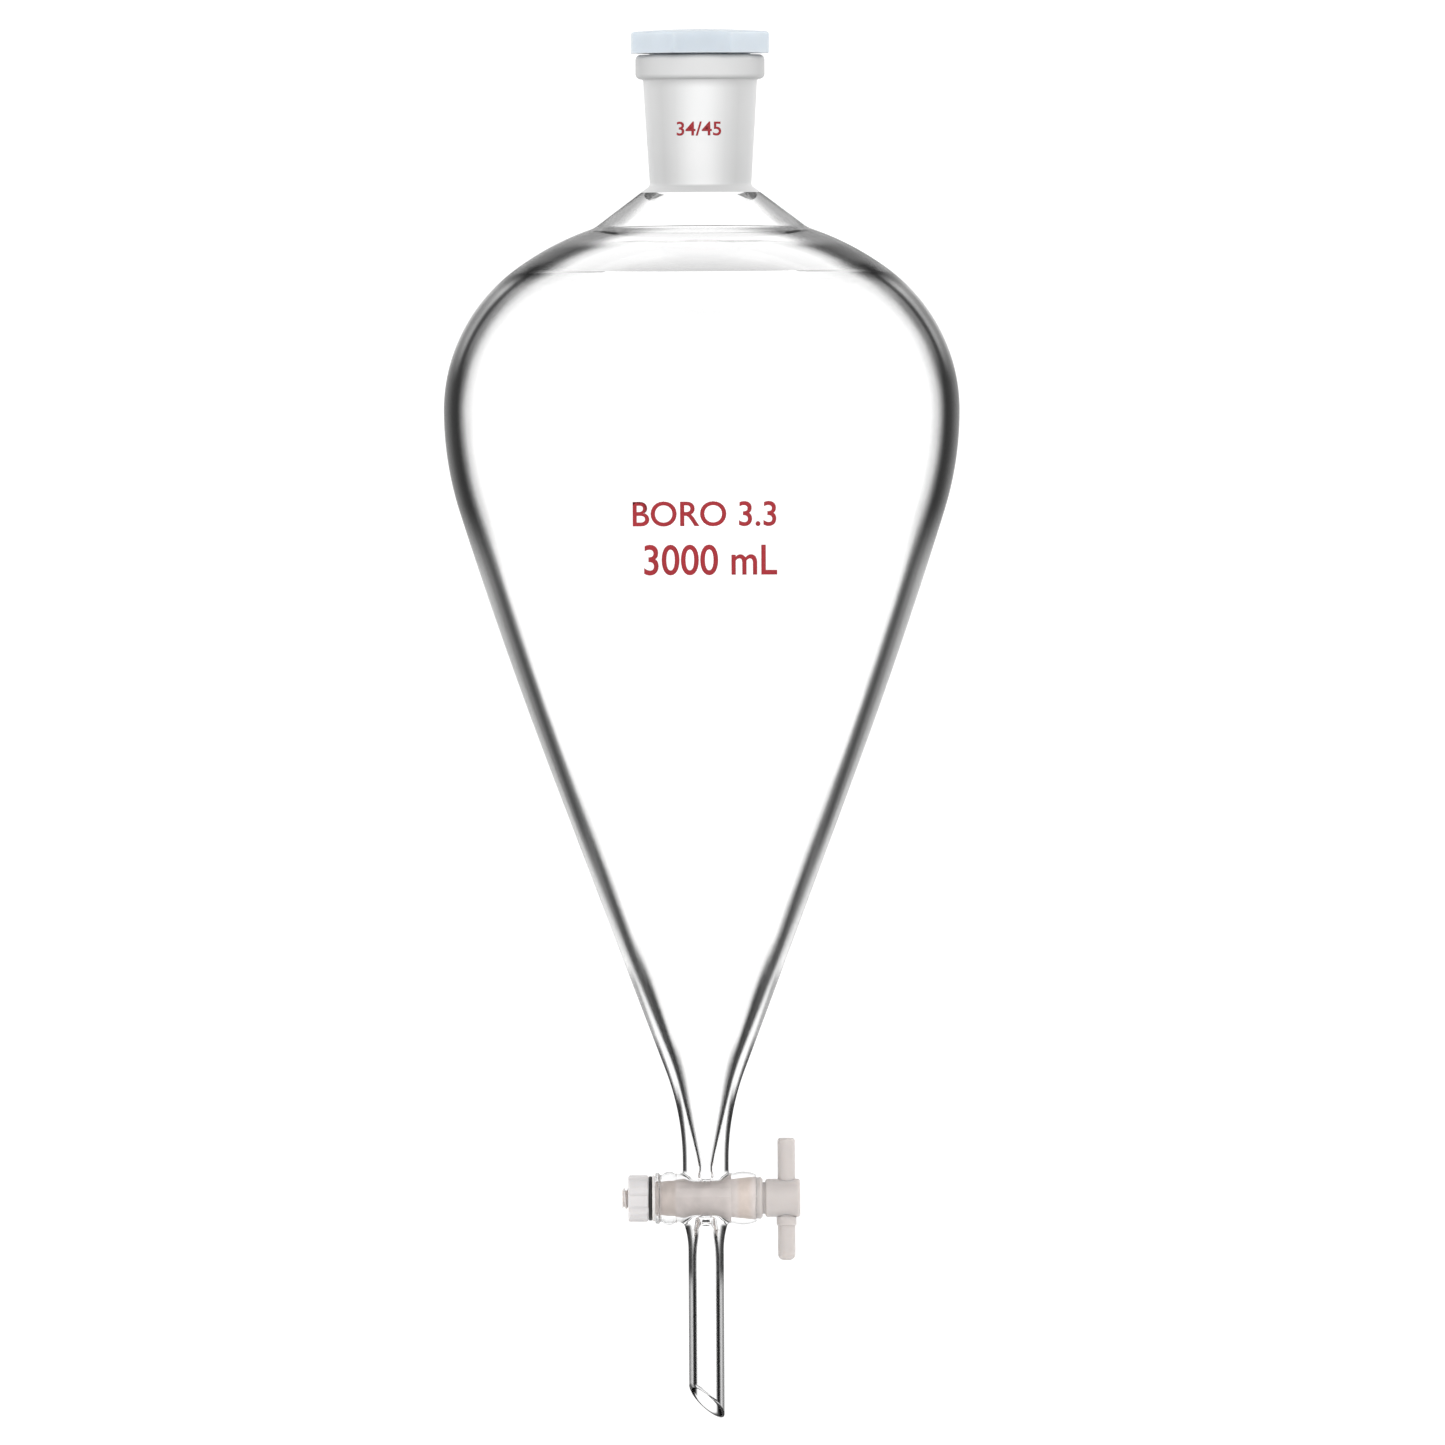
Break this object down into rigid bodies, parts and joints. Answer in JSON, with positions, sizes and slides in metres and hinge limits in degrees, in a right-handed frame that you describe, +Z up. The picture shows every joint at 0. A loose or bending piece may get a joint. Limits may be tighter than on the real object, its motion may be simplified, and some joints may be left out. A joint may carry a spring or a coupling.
{
  "type": "separatory funnel",
  "caption": "Pear-shaped glass separatory funnel with a ground neck, a plastic stopper, a PTFE stopcock turned by a cross bar and a slanted drip stem.",
  "frame": {"origin": "on the funnel's axis, at the height where a support ring of 127 mm inside diameter touches the cone", "axes": "+Z up along the funnel's axis to the stopper, +X along the stopcock's axis towards its handle, +Y away from the side that faces the viewer"},
  "size_m": [0.1754, 0.1754, 0.4721],
  "materials": {
    "clear_glass": "clear, polished borosilicate",
    "ground_glass": "frosted, ground inside",
    "stopper_plastic": "translucent, slightly blue",
    "ptfe": "waxy, milky",
    "nut_plastic": "satin",
    "rubber": "matte",
    "red_enamel": "fired print on glass"
  },
  "bodies": {
    "funnel": {"bulb": "clear_glass", "neck_socket": "ground_glass", "stopcock_barrel": "clear_glass", "drip_stem": "clear_glass"},
    "stopper": {"stopper": "stopper_plastic"},
    "plug": {"stopcock_plug": "ptfe", "handle_bar": "ptfe"},
    "seals": {"washer": "ptfe", "o_ring": "rubber"},
    "nut": {"lock_nut": "nut_plastic"}
  },
  "joints": [
    {"name": "stopper_lift", "type": "slide", "parent": "funnel", "child": "stopper", "axis": [0, 0, 1], "range_m": [0, 0.09]},
    {"name": "plug_turn", "type": "hinge", "parent": "funnel", "child": "plug", "pos_m": [0, 0, -0.1768], "axis": [1, 0, 0], "continuous": true},
    {"name": "seal_slide", "type": "slide", "parent": "plug", "child": "seals", "axis": [-1, 0, 0], "range_m": [0, 0.00895]},
    {"name": "nut_turn", "type": "hinge", "parent": "seals", "child": "nut", "pos_m": [-0.023, 0, -0.1768], "axis": [-1, 0, 0], "range_deg": [0, 2160]}
  ],
  "couplings": [
    {"joint": "nut_turn", "follows": "seal_slide", "rad_per_m": 4188.8}
  ]
}
